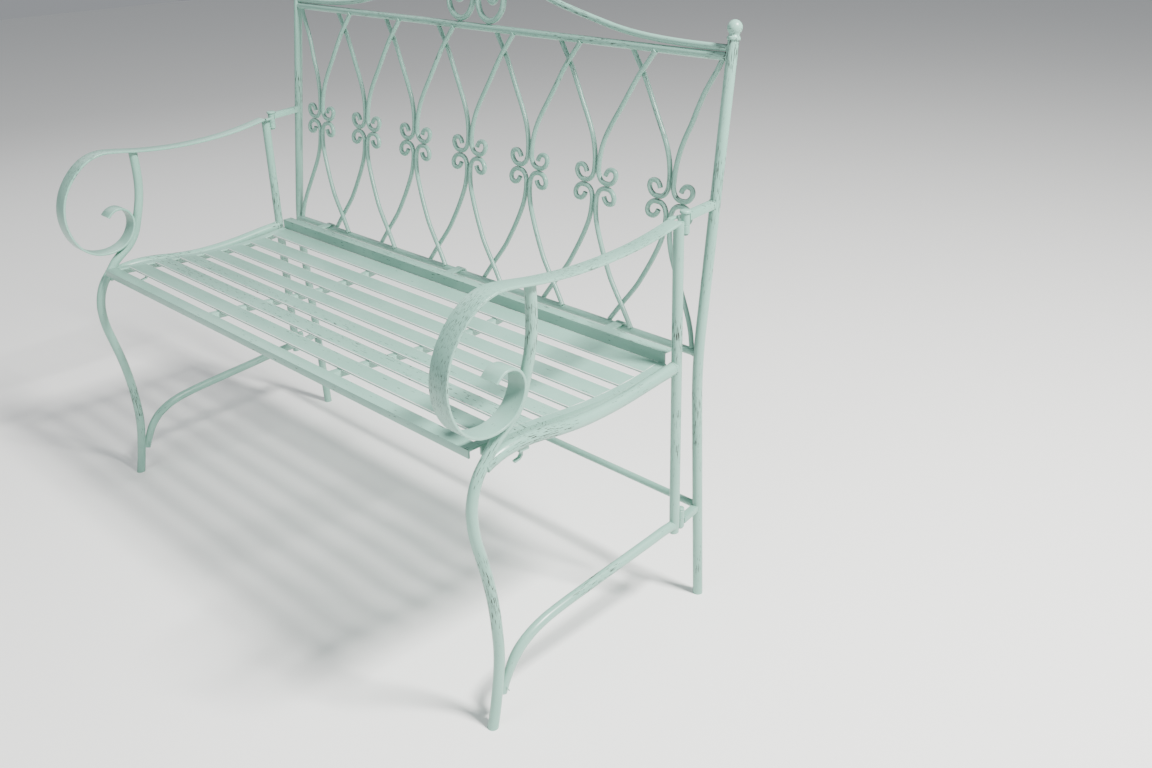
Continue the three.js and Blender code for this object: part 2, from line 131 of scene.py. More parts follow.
def paint(name, follow_tube, stretch, eager=0.0):
    """Worn sage paint. stretch shapes the chips, eager makes them commoner all over."""
    mat = bpy.data.materials.new(name)
    mat.use_nodes = True
    nodes, links = mat.node_tree.nodes, mat.node_tree.links
    shader = nodes["Principled BSDF"]

    def node(kind, **values):
        made = nodes.new(kind)
        for key, value in values.items():
            setattr(made, key, value)
        return made

    def sum_or_product(operation, a, b):
        made = node("ShaderNodeMath", operation=operation, use_clamp=True)
        for socket, value in zip(made.inputs, (a, b)):
            if isinstance(value, (int, float)):
                socket.default_value = value
            else:
                links.new(value, socket)
        return made.outputs[0]

    def noise(vector, scale, detail):
        made = node("ShaderNodeTexNoise")
        made.inputs["Scale"].default_value = scale
        made.inputs["Detail"].default_value = detail
        links.new(vector, made.inputs["Vector"])
        return made.outputs["Fac"]

    def band(value, low, high):
        made = node("ShaderNodeMapRange", interpolation_type="SMOOTHSTEP")
        made.inputs["From Min"].default_value, made.inputs["From Max"].default_value = low, high
        links.new(value, made.inputs["Value"])
        return made.outputs["Result"]

    coords = node("ShaderNodeTexCoord").outputs["Object"]
    along = node("ShaderNodeAttribute", attribute_name="straight").outputs["Vector"] if follow_tube else coords
    mapping = node("ShaderNodeMapping")
    mapping.inputs["Scale"].default_value = stretch
    links.new(along, mapping.inputs["Vector"])
    rubbed = node("ShaderNodeAttribute", attribute_name="wear").outputs["Fac"]
    handled = sum_or_product("MULTIPLY", rubbed, RUB_GAIN)
    level = sum_or_product("ADD", noise(mapping.outputs["Vector"], 1.0, 2.5), handled)
    worn = band(sum_or_product("ADD", level, eager), CHIP - 0.008, CHIP + 0.012)
    tone = band(noise(coords, 9.0, 4.0), 0.35, 0.68)
    base = node("ShaderNodeMix", data_type="RGBA")
    base.inputs["A"].default_value, base.inputs["B"].default_value = DEEP, LIGHT
    links.new(tone, base.inputs["Factor"])
    colour = node("ShaderNodeMix", data_type="RGBA")
    colour.inputs["B"].default_value = OXIDE
    links.new(base.outputs["Result"], colour.inputs["A"])
    links.new(worn, colour.inputs["Factor"])
    links.new(colour.outputs["Result"], shader.inputs["Base Color"])
    rough = node("ShaderNodeMapRange")
    rough.inputs["To Min"].default_value, rough.inputs["To Max"].default_value = 0.3, 0.75
    links.new(worn, rough.inputs["Value"])
    links.new(rough.outputs["Result"], shader.inputs["Roughness"])
    bump = node("ShaderNodeBump", invert=True)
    bump.inputs["Strength"].default_value, bump.inputs["Distance"].default_value = 0.35, 0.0003
    links.new(worn, bump.inputs["Height"])
    links.new(bump.outputs["Normal"], shader.inputs["Normal"])
    return mat


TUBE_PAINT = paint("paint_on_tube", True, TUBE_DASH)
ARM_PAINT = paint("paint_on_bar", True, ARM_DASH)
FLAT_PAINT = paint("paint_on_flat", False, SLAT_DASH, -0.03)
WELD_PAINT = paint("paint_on_weld", False, WELD_SPECK, 0.02)
print("paints:", TUBE_PAINT.name, ARM_PAINT.name, FLAT_PAINT.name, WELD_PAINT.name)

# %% [markdown]
# ## A rod along a path
# Most of the bench is rod or tube bent along a smooth line. A Geometry Nodes tree turns a line of
# points into such a rod: the line becomes a curve, a circle is swept along it and the ends are
# closed. One tree with a `Radius` input serves every tube, so a size is changed in one place.
# The tree also stores `straight` for the paint.


# %% Rod tree
def tree_with(name, sockets):
    tree = bpy.data.node_groups.new(name, "GeometryNodeTree")
    tree.interface.new_socket("Geometry", in_out="INPUT", socket_type="NodeSocketGeometry")
    for label, kind in sockets:
        tree.interface.new_socket(label, in_out="INPUT", socket_type=kind)
    tree.interface.new_socket("Geometry", in_out="OUTPUT", socket_type="NodeSocketGeometry")
    return tree, tree.nodes.new("NodeGroupInput"), tree.nodes.new("NodeGroupOutput")


def make_rod_tree():
    tree, given, out = tree_with("rod_along_path", [("Radius", "NodeSocketFloat"), ("Sides", "NodeSocketInt"),
                                                    ("Start", "NodeSocketFloat"), ("Paint", "NodeSocketMaterial")])
    new, link = tree.nodes.new, tree.links.new
    curve = new("GeometryNodeMeshToCurve")
    link(given.outputs["Geometry"], curve.inputs["Mesh"])
    run = new("GeometryNodeCaptureAttribute")
    run.capture_items.new("FLOAT", "Run")
    link(curve.outputs["Curve"], run.inputs["Geometry"])
    link(new("GeometryNodeSplineParameter").outputs["Length"], run.inputs["Run"])
    ring = new("GeometryNodeCurvePrimitiveCircle")
    link(given.outputs["Sides"], ring.inputs["Resolution"])
    link(given.outputs["Radius"], ring.inputs["Radius"])
    place = new("GeometryNodeCaptureAttribute")
    place.capture_items.new("VECTOR", "Place")
    link(ring.outputs["Curve"], place.inputs["Geometry"])
    link(new("GeometryNodeInputPosition").outputs["Position"], place.inputs["Place"])
    sweep = new("GeometryNodeCurveToMesh")
    sweep.inputs["Fill Caps"].default_value = True
    link(run.outputs["Geometry"], sweep.inputs["Curve"])
    link(place.outputs["Geometry"], sweep.inputs["Profile Curve"])
    split = new("ShaderNodeSeparateXYZ")
    link(place.outputs["Place"], split.inputs[0])
    start = new("ShaderNodeMath")
    link(run.outputs["Run"], start.inputs[0])
    link(given.outputs["Start"], start.inputs[1])
    joined = new("ShaderNodeCombineXYZ")
    link(start.outputs[0], joined.inputs["X"])
    link(split.outputs["X"], joined.inputs["Y"])
    link(split.outputs["Y"], joined.inputs["Z"])
    store = new("GeometryNodeStoreNamedAttribute")
    store.data_type, store.domain = "FLOAT_VECTOR", "POINT"
    store.inputs["Name"].default_value = "straight"
    link(sweep.outputs["Mesh"], store.inputs["Geometry"])
    link(joined.outputs[0], store.inputs["Value"])
    angle = new("GeometryNodeInputMeshEdgeAngle")
    sharp = new("FunctionNodeCompare")
    sharp.inputs["B"].default_value = 0.8
    link(angle.outputs["Unsigned Angle"], sharp.inputs["A"])
    smooth = new("GeometryNodeSetShadeSmooth")
    crisp = new("GeometryNodeSetShadeSmooth")
    crisp.domain = "EDGE"
    crisp.inputs["Shade Smooth"].default_value = False
    link(store.outputs["Geometry"], smooth.inputs["Geometry"])
    link(smooth.outputs["Geometry"], crisp.inputs["Geometry"])
    link(sharp.outputs["Result"], crisp.inputs["Selection"])
    real, coat = new("GeometryNodeRealizeInstances"), new("GeometryNodeSetMaterial")
    link(crisp.outputs["Geometry"], real.inputs["Geometry"])
    link(real.outputs["Geometry"], coat.inputs["Geometry"])
    link(given.outputs["Paint"], coat.inputs["Material"])
    link(coat.outputs["Geometry"], out.inputs["Geometry"])
    return tree


ROD = make_rod_tree()
print("tree", ROD.name, "with", len(ROD.nodes), "nodes")

# %% [markdown]
# ## Wear and finishing helpers
# `plain` runs a tree on an object, keeps the result as a plain mesh and takes the modifier off.
# `rubbed` writes the `wear` attribute from a short list of places that get handled or scuffed.

# %% Where the paint is rubbed
# each entry is a place, how far the rubbing reaches in metres, and how strong it is
RUBS = [(P(548, -424, 215), 0.085, 1.0), (P(548, -431, 265), 0.05, 0.9), (P(548, -334, 580), 0.07, 1.0),
        (P(548, -50, 478), 0.06, 1.0), (P(548, -50, 330), 0.06, 0.5), (P(548, 0, 330), 0.12, 0.85),
        (P(548, 34, 690), 0.08, 1.0), (P(548, 60, 870), 0.06, 1.0), (P(548, 20, 560), 0.07, 0.6),
        (P(556, -330, 424), 0.09, 0.95), (P(556, -150, 420), 0.07, 0.5), (P(548, -425, 415), 0.05, 0.8),
        (P(548, -445, 628), 0.09, 0.85), (P(548, -486, 550), 0.08, 0.8), (P(548, -250, 636), 0.12, 0.75),
        (P(548, -130, 642), 0.09, 0.65), (P(548, -230, 143), 0.09, 0.8), (P(548, 9, 60), 0.05, 0.7),
        (P(250, 57, 862), 0.16, 0.7), (P(-100, 57, 862), 0.15, 0.55), (P(463, 32, 655), 0.06, 0.8),
        (P(440, 50, 770), 0.06, 0.8), (P(150, 50, 800), 0.06, 0.6), (P(0, 66, 940), 0.09, 0.6),
        (P(-548, -419, 150), 0.08, 0.9), (P(-548, -300, 420), 0.1, 0.9), (P(-548, -50, 480), 0.08, 0.9),
        (P(-548, -430, 640), 0.1, 0.8), (P(-548, 30, 700), 0.08, 0.9), (P(-300, 57, 862), 0.15, 0.5)]


def rubbed(mesh):
    flat = np.empty(len(mesh.vertices) * 3, dtype=np.float32)
    mesh.vertices.foreach_get("co", flat)
    where, wear = flat.reshape(-1, 3), np.zeros(len(mesh.vertices))
    for centre, radius, strength in RUBS:
        gap = np.linalg.norm(where - np.array(centre), axis=1)
        wear = np.maximum(wear, strength * np.clip(1.5 * (1 - gap / radius), 0, 1))
    mesh.attributes.new("wear", "FLOAT", "POINT").data.foreach_set("value", wear.astype(np.float32))


print("rubbed places:", len(RUBS))


# %% Helpers that make and finish a piece
def new_object(name, verts, edges=(), faces=()):
    mesh = bpy.data.meshes.new(name)
    mesh.from_pydata([tuple(v) for v in verts], list(edges), list(faces))
    obj = bpy.data.objects.new(name, mesh)
    bpy.context.scene.collection.objects.link(obj)
    return obj


def plain(obj, tree, **values):
    mod = obj.modifiers.new("shape", "NODES")
    mod.node_group = tree
    for item in tree.interface.items_tree:
        if item.in_out == "INPUT" and item.name in values:
            mod[item.identifier] = values[item.name]
    obj.update_tag()
    baked = bpy.data.meshes.new_from_object(obj.evaluated_get(bpy.context.evaluated_depsgraph_get()))
    obj.modifiers.remove(mod)
    obj.data = baked
    return obj


def settle(obj, body, *cad_nodes, slot="frame_paint"):
    rubbed(obj.data)
    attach(obj, body)
    if cad_nodes:
        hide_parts(*cad_nodes)
    return obj


print("a piece is made plain, given wear, then set on its body")


# %% Lines and rods
def smooth_line(points, per=8):
    """A centripetal Catmull-Rom line through the points."""
    pts = [Vector(p) for p in points]
    ends = [pts[0] * 2 - pts[1]] + pts + [pts[-1] * 2 - pts[-2]]
    line = []
    for a, b, c, d in zip(ends, ends[1:], ends[2:], ends[3:]):
        h0, h1, h2 = (max((q - p).length ** 0.5, 1e-6) for p, q in ((a, b), (b, c), (c, d)))
        t1 = ((b - a) / h0 - (c - a) / (h0 + h1) + (c - b) / h1) * h1
        t2 = ((c - b) / h1 - (d - b) / (h1 + h2) + (d - c) / h2) * h1
        for k in range(per):
            u = k / per
            line.append(b * (2 * u**3 - 3 * u**2 + 1) + t1 * (u**3 - 2 * u**2 + u)
                        + c * (3 * u**2 - 2 * u**3) + t2 * (u**3 - u**2))
    return line + [pts[-1]]


def rods(name, lines, diameter, sides=20, start=0.0):
    """One piece made of rods along the lines. Lines are in metres, the diameter in millimetres."""
    verts, edges = [], []
    for line in lines:
        first = len(verts)
        verts += line
        edges += [(i, i + 1) for i in range(first, len(verts) - 1)]
    return plain(new_object(name, verts, edges), ROD, Radius=diameter / 2000, Sides=sides, Start=start,
                 Paint=TUBE_PAINT)


print("a straight line of two points becomes", len(smooth_line([(0, 0, 0), (1, 0, 0)])), "points")

# %% [markdown]
# ## Back frame
# Two posts lean back a little above the seat. Three round rails join them. Rounded collars with
# balls finish the posts: turned shapes, so they are made by spinning an outline.

# %% Sizes of the back frame
TUBE_D, RAIL_D, CREST_D, LATTICE_D = 16, 12, 10, 8
POST_X, SEAT_Z, LEAN, FOOT_Y = 548, 437, math.radians(7.65), 13
SL, CL = math.sin(LEAN), math.cos(LEAN)
TOP_T, POST_T, MID_T, BEND_T = 429.5, 452, 214.7, -19.2
RAIL_END, LOW_RAIL_Z, CREST_GAP = 544, 170, 11.4
SIDES = (("left", -1), ("right", 1))


def back(x, t, n=0):
    """A point on the leaning back: x across, t up the back, n behind it."""
    return P(x, t * SL + n * CL, SEAT_Z + t * CL - n * SL)


def post_y(z):
    """Where the straight lower part of a post is at height z."""
    return FOOT_Y + (BEND_T * SL - FOOT_Y) * z / (SEAT_Z + BEND_T * CL)


print("post foot at y", post_y(0), "and top at", [round(c, 4) for c in back(POST_X, POST_T)])


# %% Posts, finials and rails
def level_feet(obj):
    """Cuts a tube's lower end off level with the floor."""
    for vertex in obj.data.vertices:
        vertex.co.z = max(vertex.co.z, 0.0)
    return obj


def turned(name, outline, at, axis=(0, 0, 1), steps=32):
    """A closed turned shape from (radius, height) pairs in millimetres."""
    ring = [(r / 1000, h / 1000) for r, h in outline]
    tilt = Vector((0, 0, 1)).rotation_difference(Vector(axis)).to_matrix()
    verts, faces, rows = [], [], []
    for r, h in ring:
        if r < 1e-7:
            rows.append([len(verts)] * steps)
            verts.append(tilt @ Vector((0, 0, h)) + at)
        else:
            rows.append(list(range(len(verts), len(verts) + steps)))
            verts += [tilt @ Vector((r * math.cos(a), r * math.sin(a), h)) + at
                      for a in (2 * math.pi * k / steps for k in range(steps))]
    for low, high in zip(rows, rows[1:]):
        for k in range(steps):
            j = (k + 1) % steps
            face = list(dict.fromkeys((low[k], low[j], high[j], high[k])))
            if len(face) > 2:
                faces.append(face)
    obj = new_object(name, verts, (), faces)
    obj.data.materials.append(FLAT_PAINT)
    obj.data.shade_smooth()
    obj.data.set_sharp_from_angle(angle=math.radians(38))
    return obj


BALL_R, BALL_H = 10.7, 16.6
COLLAR = [(0, 0), (8.7, 0), (9.5, 0.8), (9.7, 2.4), (9.3, 4.4), (8.3, 5.2), (7.6, 6), (7.3, 7)]
BALL = [(BALL_R * math.sin(a), BALL_H - BALL_R * math.cos(a)) for a in (math.pi * k / 16 for k in range(4, 16))]
for side, s in SIDES:
    x = s * POST_X
    a, b, c = P(x, post_y(358), 358), back(x, BEND_T), back(x, BEND_T + 60)
    bend = [a * (1 - u)**2 + b * 2 * u * (1 - u) + c * u**2 for u in (k / 12 for k in range(13))]
    line = [P(x, post_y(h), h) for h in range(-1, 350, 29)] + bend
    line += [back(x, t) for t in range(60, 440, 30)] + [back(x, POST_T)]
    post = level_feet(rods(f"post_{side}", [line], TUBE_D, 28, start=1.7 * s))
    settle(post, "back_frame", f"back_post_{side}")
    outline = COLLAR + BALL + [(0, BALL_H + BALL_R)]
    settle(turned(f"ball_finial_{side}", outline, back(x, POST_T + 0.1), (0, SL, CL)),
           "back_frame", f"finial_{side}")

for name, height in (("top_rail", SEAT_Z + TOP_T * CL), ("seat_pivot_rail", SEAT_Z), ("low_back_rail", LOW_RAIL_Z)):
    y = TOP_T * SL if name == "top_rail" else post_y(height) if name == "low_back_rail" else 0
    ends = P(-RAIL_END, y, height), P(RAIL_END, y, height)
    line = [ends[0].lerp(ends[1], k / 40) for k in range(41)]
    settle(rods(name + "_tube", [line], RAIL_D, 24, start=3.1), "back_frame", name)
print("back frame: posts, finials, rails")

# %% [markdown]
# ## Crest
# Each half is one long tube. It leaves its post almost level, rises in an ogee to the middle, rolls
# over and winds down into a scroll that rests on the top rail. The two halves mirror each other.

# %% Crest halves
CREST = [(545, CREST_GAP), (500, 11.5), (455, 12.2), (415, 13.8), (375, 16.8), (334, 21.9), (292, 29.8),
         (240, 40.6), (187, 53), (145, 66), (110, 80), (82, 93), (58, 103.5), (38, 108.5), (20, 104), (8.8, 91),
         (5.4, 73), (5.3, 52), (9.5, 31), (20, 17.4), (37.6, 11.5), (55, 16.5), (66.5, 28.5), (70.6, 44),
         (68, 57), (60, 66), (50, 68.5), (40, 65), (34.5, 56), (35.5, 46), (42.5, 41.5), (49.3, 44.5), (50.5, 51)]
for side, s in SIDES:
    line = smooth_line([back(s * x, TOP_T + h) for x, h in CREST], 6)
    settle(rods(f"crest_half_{side}", [line], CREST_D, 20, start=5.3 * s), "back_frame", f"crest_{side}")
print("crest:", len(line), "steps a half")

# %% [markdown]
# ## Lattice
# Seven units of bent rod fill the back. In a unit the left and right rods run together at
# the middle height, where each curls away and meets its partner from the other end in a small weld.
# Neighbouring units cross near the rails, so the right-hand rods are bent to pass in front.

# %% Lattice lines
UNITS, PITCH, CROSS_OFFSET = 7, 154.5, 4.2
CURL = [(4.3, 28.4), (5.1, 18.4), (9.5, 9.6), (16, 5.2), (23.3, 4.1), (31.4, 4.8), (38.4, 9.4),
        (42.2, 17), (40.2, 24), (34, 26.7), (27.3, 25.6), (22.6, 21.2), (20.4, 16.4)]
UPPER = [(103.8, 211.6), (90.5, 194), (77.25, 177), (68, 162.3), (55.5, 141), (42, 119.5), (30.4, 102.5),
         (21.8, 89), (13.9, 74.5), (8.2, 58.5), (5.1, 42)]
LOWER = [(104.3, 209.4), (90.5, 190.5), (77.25, 173.2), (66, 159), (52, 140), (41.5, 123), (31.8, 107),
         (22.5, 90.5), (14.1, 73.5), (8.1, 57.5), (5.1, 42)]
UPPER_END = [(70.3, 211.8), (62.5, 195), (54.5, 181), (45, 163.5), (35.5, 141), (26.5, 116), (17.5, 95.5),
             (11.1, 77), (7, 59), (4.8, 42)]
LOWER_END = [(70.8, 209.6), (66, 188), (59.5, 170), (50.5, 151), (40, 131), (29.5, 111), (20, 93),
             (12.1, 75), (7.2, 58), (4.9, 42)]
print("points in a rod:", len(UPPER) + len(CURL))

# %% Lattice units
welds = {"back_frame": [], "left_side": [], "right_side": [], "seat": []}


def ease(x):
    """Goes from 0 to 1 with a soft start and a soft stop."""
    c = min(max(x, 0), 1)
    return c * c * (3 - 2 * c)


for u in range(UNITS):
    middle, lines = (u - 3) * PITCH, []
    for side, s in SIDES:
        end = (u == 0 and s < 0) or (u == UNITS - 1 and s > 0)
        front = 0 if end else -CROSS_OFFSET * s
        for way, shape in ((1, UPPER_END if end else UPPER), (-1, LOWER_END if end else LOWER)):
            points = [back(middle + s * x, MID_T + way * d, front * ease((d - 62) / 85)) for x, d in shape + CURL]
            lines.append(smooth_line(points, 5))
            welds["back_frame"].append((points[0] + Vector((0, -0.001, -0.003 * way)), 2.6))
        welds["back_frame"].append((back(middle + s * 23.3, MID_T, -1.5), 3.0))
    for way in (1, -1):
        welds["back_frame"].append((back(middle, MID_T + way * 30, -1.5), 2.6))
    settle(rods(f"lattice_unit_{u + 1}", lines, LATTICE_D, 14, start=u * 0.7), "back_frame",
           f"lattice_{u + 1}_left", f"lattice_{u + 1}_right")
print("lattice units:", UNITS)

# %% [markdown]
# ## Side frames
# A side frame is a gate: an upright with two knuckles at the back, an S-bent front leg, a fat tube
# at seat height and a thin one low down. They are mirror images, so one loop makes both.

# %% Side frame lines
SEAT_TUBE_D, STRETCHER_D = 19, 15.5
LEG = [(-333, 639.2), (-332.5, 600), (-334, 572), (-338.5, 546), (-347, 517), (-358, 487), (-374, 465.5),
       (-391, 452.5), (-405, 441), (-419, 424), (-434, 406), (-444, 385), (-449, 362), (-449.3, 341),
       (-446.8, 318), (-439.8, 287), (-432, 253), (-426.4, 222), (-422.6, 193), (-420.2, 160), (-419, 126),
       (-420.8, 95), (-425, 66), (-431, 33), (-436.5, 8), (-439, -3)]
SEAT_TUBE = [(-53.5, 431.3), (-86, 428), (-130, 422.5), (-165, 418.6), (-205, 416.2), (-250, 416.2),
             (-290, 419.6), (-326, 424.6), (-360, 427), (-392, 424.5), (-414, 418.2), (-424, 414)]
STRETCHER = [(-53.5, 160), (-76, 159.4), (-98, 156.8), (-127, 153.8), (-171, 149.2), (-215, 144.9),
             (-257, 140.6), (-298, 135.9), (-333, 129.8), (-359, 120.8), (-381, 107.4), (-396.5, 90),
             (-407, 70), (-417, 47)]
UP_Y, UP_BOTTOM, UP_TOP, PIN_Y, KNUCKLE_R, BORE_R = -49.7, 146, 652, -35.4, 6.35, 3.3
print("leg, seat tube and stretcher:", len(LEG), len(SEAT_TUBE), len(STRETCHER), "points")


# %% Knuckles and flattened ends
def knuckle(name, x, z0, z1):
    """A short pipe round the pin, one part of a hinge."""
    tall, ease_r = z1 - z0, 0.5
    outline = [(BORE_R, 0), (KNUCKLE_R - ease_r, 0), (KNUCKLE_R, ease_r), (KNUCKLE_R, tall - ease_r),
               (KNUCKLE_R - ease_r, tall), (BORE_R, tall), (BORE_R, 0)]
    return turned(name, outline, P(x, PIN_Y, z0), (0, 0, 1), 28)


def join(main, other):
    """Adds the other's faces to main. Both wear the same paint."""
    build = bmesh.new()
    build.from_mesh(main.data)
    build.from_mesh(other.data)
    bmesh.ops.remove_doubles(build, verts=build.verts, dist=1e-7)
    build.to_mesh(main.data)
    build.free()
    bpy.data.objects.remove(other)
    return main


def pinched(obj, end, reach, squash):
    """Presses a tube flat towards one end, as a tube is before it is welded on."""
    for vertex in obj.data.vertices:
        near = ease(1 - (vertex.co - end).length / reach)
        vertex.co.x = end.x + (vertex.co.x - end.x) * (1 - squash * near)
    return obj


print("knuckle wall:", round(KNUCKLE_R - BORE_R, 2), "mm")

# %% Side frame tubes
UPPER_KNUCKLE, LOWER_KNUCKLE = (632.6, 645.1), (166.1, 181.1)
for side, s in SIDES:
    x, body = s * POST_X, f"{side}_side"

    def at(points):
        return [P(x, y, z) for y, z in points]

    leg = rods(f"front_leg_tube_{side}", [smooth_line(at(LEG), 6)], TUBE_D, 28, start=2.9 * s)
    settle(level_feet(leg), body, f"front_leg_{side}")
    seat_tube = rods(f"seat_side_tube_{side}", [smooth_line(at(SEAT_TUBE), 8)], SEAT_TUBE_D, 28, start=4.1 * s)
    settle(seat_tube, body, f"seat_tube_{side}")
    stretcher = rods(f"low_stretcher_{side}", [smooth_line(at(STRETCHER), 8)], STRETCHER_D, 28, start=6.7 * s)
    settle(pinched(stretcher, at(STRETCHER)[-1], 0.062, 0.6), body, f"side_stretcher_{side}")
    line = [P(x, UP_Y, z) for z in range(UP_BOTTOM, UP_TOP + 1, 22)] + [P(x, UP_Y, UP_TOP)]
    upright = rods(f"upright_{side}", [line], TUBE_D, 28, start=8.3 * s)
    settle(pinched(upright, line[0], 0.016, 0.35), body)
    high, low = knuckle(f"upright_knuckles_{side}", x, *UPPER_KNUCKLE), knuckle("low", x, *LOWER_KNUCKLE)
    settle(join(high, low), body, f"rear_upright_{side}")
    for z in (634, 644, 168, 179):
        welds[body] += [(P(x + dx, -42.6, z), 3.2) for dx in (-2.4, 0, 2.4)]
print("side frame tubes done")

# %% [markdown]
# ## Armrests
# The armrest is flat bar, narrow at the hinge and wide where the hand lies, rolled into a large
# scroll in front. The listed points are its outer face. A flat bar with eased edges is swept along
# them in plain Python, because its width changes on the way.

# %% Armrest line
ARM = [(-40, 657.8), (-54, 656.8), (-75, 652.5), (-96, 648.3), (-120, 644.3), (-150, 640.4), (-195, 637.2),
       (-240, 636.2), (-281, 637.6), (-324, 641.3), (-366, 647), (-390, 649), (-407, 647.2), (-424, 641.5),
       (-440, 631.8), (-453, 620.5), (-465, 606.5), (-475.5, 590.5), (-483, 573), (-487.3, 555), (-488.3, 536),
       (-485, 515), (-477.5, 495.5), (-467, 480.5), (-455, 470.8), (-441, 464.4), (-425, 461.6), (-409, 462),
       (-393, 466.4), (-379.5, 474.6), (-369, 486), (-362, 499.5), (-359.3, 512), (-361, 524.5), (-367.5, 535.5),
       (-378.5, 542), (-390.5, 542.6), (-401, 538), (-409, 530.5)]
ARM_T, ARM_EASE = 4.0, 1.1
print("armrest points:", len(ARM))


# %% A flat bar along a line
def bar_outline(width, thick, ease_r=ARM_EASE):
    """A flat bar's section with rounded corners, as (across, inwards) pairs."""
    out = []
    for cx, cy, start in ((1, 1, 0), (-1, 1, 90), (-1, -1, 180), (1, -1, 270)):
        for k in range(4):
            a = math.radians(start + 30 * k)
            out.append((cx * (width / 2 - ease_r) + ease_r * math.cos(a),
                        thick / 2 + cy * (thick / 2 - ease_r) + ease_r * math.sin(a)))
    return out


def swept_bar(name, line, outline_at, across, inward_at, coat, seed=0.0):
    """Sweeps an outline along a line in metres. across is a fixed direction."""
    verts, faces, straight, run, count = [], [], [], seed, 0
    for i, point in enumerate(line):
        if i:
            run += (point - line[i - 1]).length
        tangent = (line[min(i + 1, len(line) - 1)] - line[max(i - 1, 0)]).normalized()
        inward, outline = inward_at(tangent), outline_at(i / (len(line) - 1))
        count = len(outline)
        for a, b in outline:
            verts.append(point + across * a / 1000 + inward * b / 1000)
            straight.append((run, a / 1000, b / 1000))
    for i in range(len(line) - 1):
        for j in range(count):
            k = (j + 1) % count
            faces.append((i * count + j, i * count + k, (i + 1) * count + k, (i + 1) * count + j))
    last = (len(line) - 1) * count
    faces += [tuple(range(count))[::-1], tuple(range(last, last + count))]
    obj = new_object(name, verts, (), faces)
    shell = bmesh.new()
    shell.from_mesh(obj.data)
    bmesh.ops.recalc_face_normals(shell, faces=shell.faces)
    shell.to_mesh(obj.data)
    shell.free()
    obj.data.attributes.new("straight", "FLOAT_VECTOR", "POINT").data.foreach_set(
        "vector", np.array(straight, dtype=np.float32).ravel())
    obj.data.materials.append(coat)
    obj.data.shade_smooth()
    obj.data.set_sharp_from_angle(angle=math.radians(50))
    return obj


print("a flat bar's section has", len(bar_outline(25, ARM_T)), "corners")


# %% Armrest bars
def arm_outline(f):
    """The bar is 25 wide at the hinge, 34 under the hand and 32 in the scroll."""
    return bar_outline(25 + 9 * ease((f - 0.08) / 0.24) - 2 * ease((f - 0.7) / 0.25), ARM_T)


for side, s in SIDES:
    x, body = s * POST_X, f"{side}_side"
    # the bar's back end keeps clear of the hinge, so it starts at the front of the upright
    line = smooth_line([P(x, y, z) for y, z in ARM], 5)
    line = [p for p in line if p.y < P(0, UP_Y - 6, 0).y]
    bar = swept_bar(f"armrest_bar_{side}", line, arm_outline, Vector((1, 0, 0)),
                    lambda t: Vector((0, -t.z, t.y)), ARM_PAINT, seed=1.3 * s)
    settle(bar, body)
    # the plate that carries on beside the upright, on the inner side only
    tail = swept_bar(f"armrest_tail_{side}", [P(x - s * 12.6, -42.5, 657.4), P(x - s * 12.6, UP_Y - 7, 656.2)],
                     lambda f: bar_outline(7.5, ARM_T), Vector((1, 0, 0)), lambda t: Vector((0, -t.z, t.y)),
                     ARM_PAINT, seed=2.3)
    settle(tail, body, f"armrest_{side}")
    welds[body] += [(P(x + s * dx, UP_Y - 7.2, 652.4), 2.2) for dx in (-5, 0, 5)]
print("armrests swept:", len(line), "sections")

# %% [markdown]
# ## Hinge pins
# Each side frame hangs on two loose pins with flat heads. They are turned shapes again. The
# seat rests and the straps are right as the frame has them, so those stay and only get the paint.

# %% Pins
PIN_R = 3
PINS = (("upper", 631, 662.3, 8.2, 4.6), ("lower", 149, 181.4, 6, 4))       # lower end, head, head radius, thickness
for side, s in SIDES:
    x, body = s * POST_X, f"{side}_side"
    for label, end, head, r, thick in PINS:
        h = head - end
        outline = [(0, -1.6), (4.4, -0.7), (4.6, 0.4), (PIN_R, 1.2), (PIN_R, h), (r - 0.7, h), (r, h + 0.7),
                   (r, h + thick - 1.6), (r - 0.6, h + thick - 0.6), (r - 1.8, h + thick - 0.1), (0, h + thick)]
        settle(turned(f"{label}_pin_{side}", outline, P(x, PIN_Y, end)), body, f"{label}_hinge_pin_{side}")
for name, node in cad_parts.items():
    if "seat_rest" in name or "strap" in name:
        node.data.materials.clear()
        node.data.materials.append(FLAT_PAINT)
print("pins turned, plain nodes painted")

# %% [markdown]
# ## Seat
# The seat is a light frame of angle bar with seven flat slats welded across it and two supports
# below. The slats follow the seat's dished profile. A second Geometry Nodes tree places one
# slat box at each point of a short mesh and tilts it by the point's `tilt` value.

# %% Seat profile
SEAT = [(-50, 431.8), (-70, 428.8), (-85, 426.8), (-100, 425), (-120, 423), (-140, 421.8), (-165, 421),
        (-190, 421), (-220, 422), (-252, 424), (-291, 427.5), (-343, 431.5), (-390, 434.5), (-413, 435.5),
        (-436, 436)]
SEAT_HALF, SLATS, SLAT_W, SLAT_PITCH, SLAT_T, SLAT_Y0 = 530, 7, 34, 51, 3.5, -71


def seat_z(y):
    """Height of the seat's top at depth y."""
    return float(np.interp(-y, [-p[0] for p in SEAT], [p[1] for p in SEAT]))


print("seat dips to", min(z for _, z in SEAT), "mm and its front is at", SEAT[-1][1])


